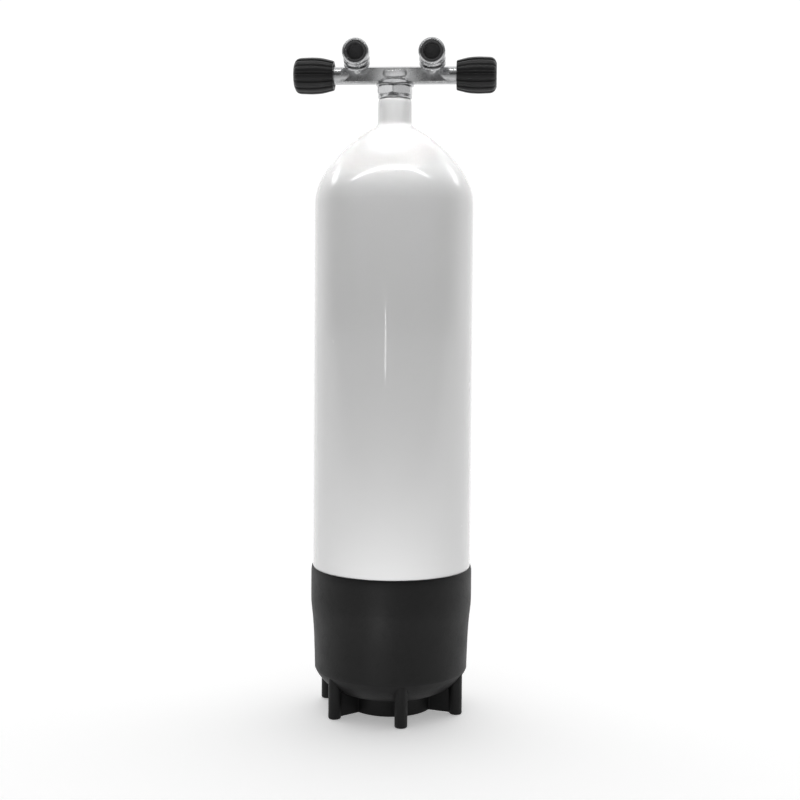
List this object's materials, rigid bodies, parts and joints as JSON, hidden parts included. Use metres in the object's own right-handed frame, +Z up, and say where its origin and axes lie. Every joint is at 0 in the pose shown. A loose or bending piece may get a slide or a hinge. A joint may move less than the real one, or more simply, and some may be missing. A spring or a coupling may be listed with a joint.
{
  "type": "scuba tank",
  "caption": "Upright steel dive cylinder with domed shoulder, bar valve with twin raised outlets, ribbed end handwheels and a finned boot.",
  "frame": {"origin": "on the floor under the tank's axis, centred on the bounding box", "axes": "+Z up along the tank's axis, +X along the valve bar to the right handwheel, -Y the side the outlets face"},
  "size_m": [0.2174, 0.1746, 0.7202],
  "materials": {
    "tank_paint": "gloss white paint on steel",
    "boot_rubber": "satin moulded black rubber",
    "valve_chrome": "satin chrome plate over brass",
    "knob_rubber": "satin black rubber",
    "knob_insert": "moulded black nylon",
    "seal_rubber": "matt black seal rubber",
    "valve_brass": "turned brass",
    "steel": "stainless steel",
    "seat_nylon": "natural nylon",
    "plug_plastic": "moulded black plastic"
  },
  "bodies": {
    "cylinder": {"cylinder_shell": "tank_paint", "boot": "boot_rubber", "inlet_connector": "valve_chrome", "neck_oring": "seal_rubber", "connector_oring": "seal_rubber", "dip_tube": "steel", "valve_body": "valve_chrome", "left_outlet": "valve_chrome", "left_outlet_oring": "seal_rubber", "left_bonnet": "valve_chrome", "left_bonnet_oring": "seal_rubber", "right_outlet": "valve_chrome", "right_outlet_oring": "seal_rubber", "right_bonnet": "valve_chrome", "right_bonnet_oring": "seal_rubber"},
    "left_handwheel": {"left_spindle": "valve_brass", "left_spindle_oring": "seal_rubber", "left_thrust_washer": "seat_nylon", "left_knob_grip": "knob_rubber", "left_knob_core": "knob_insert", "left_knob_spring": "steel", "left_knob_nut": "steel"},
    "left_seat": {"left_seat_carrier": "valve_brass", "left_seat_disc": "seat_nylon"},
    "left_plug": {"left_dust_plug": "plug_plastic"},
    "right_handwheel": {"right_spindle": "valve_brass", "right_spindle_oring": "seal_rubber", "right_thrust_washer": "seat_nylon", "right_knob_grip": "knob_rubber", "right_knob_core": "knob_insert", "right_knob_spring": "steel", "right_knob_nut": "steel"},
    "right_seat": {"right_seat_carrier": "valve_brass", "right_seat_disc": "seat_nylon"},
    "right_plug": {"right_dust_plug": "plug_plastic"}
  },
  "joints": [
    {"name": "left_handwheel_turn", "type": "hinge", "parent": "cylinder", "child": "left_handwheel", "pos_m": [0, 0, 0.685], "axis": [-1, 0, 0], "range_deg": [0, 900]},
    {"name": "left_seat_lift", "type": "slide", "parent": "left_handwheel", "child": "left_seat", "axis": [-1, 0, 0], "range_m": [0, 0.0032]},
    {"name": "left_plug_pull", "type": "slide", "parent": "cylinder", "child": "left_plug", "axis": [0, -1, 0], "range_m": [0, 0.06]},
    {"name": "right_handwheel_turn", "type": "hinge", "parent": "cylinder", "child": "right_handwheel", "pos_m": [0, 0, 0.685], "axis": [1, 0, 0], "range_deg": [0, 900]},
    {"name": "right_seat_lift", "type": "slide", "parent": "right_handwheel", "child": "right_seat", "axis": [1, 0, 0], "range_m": [0, 0.0032]},
    {"name": "right_plug_pull", "type": "slide", "parent": "cylinder", "child": "right_plug", "axis": [0, -1, 0], "range_m": [0, 0.06]}
  ],
  "couplings": [
    {"joint": "left_seat_lift", "follows": "left_handwheel_turn", "m_per_rad": 0.00019894},
    {"joint": "right_seat_lift", "follows": "right_handwheel_turn", "m_per_rad": 0.00019894}
  ]
}
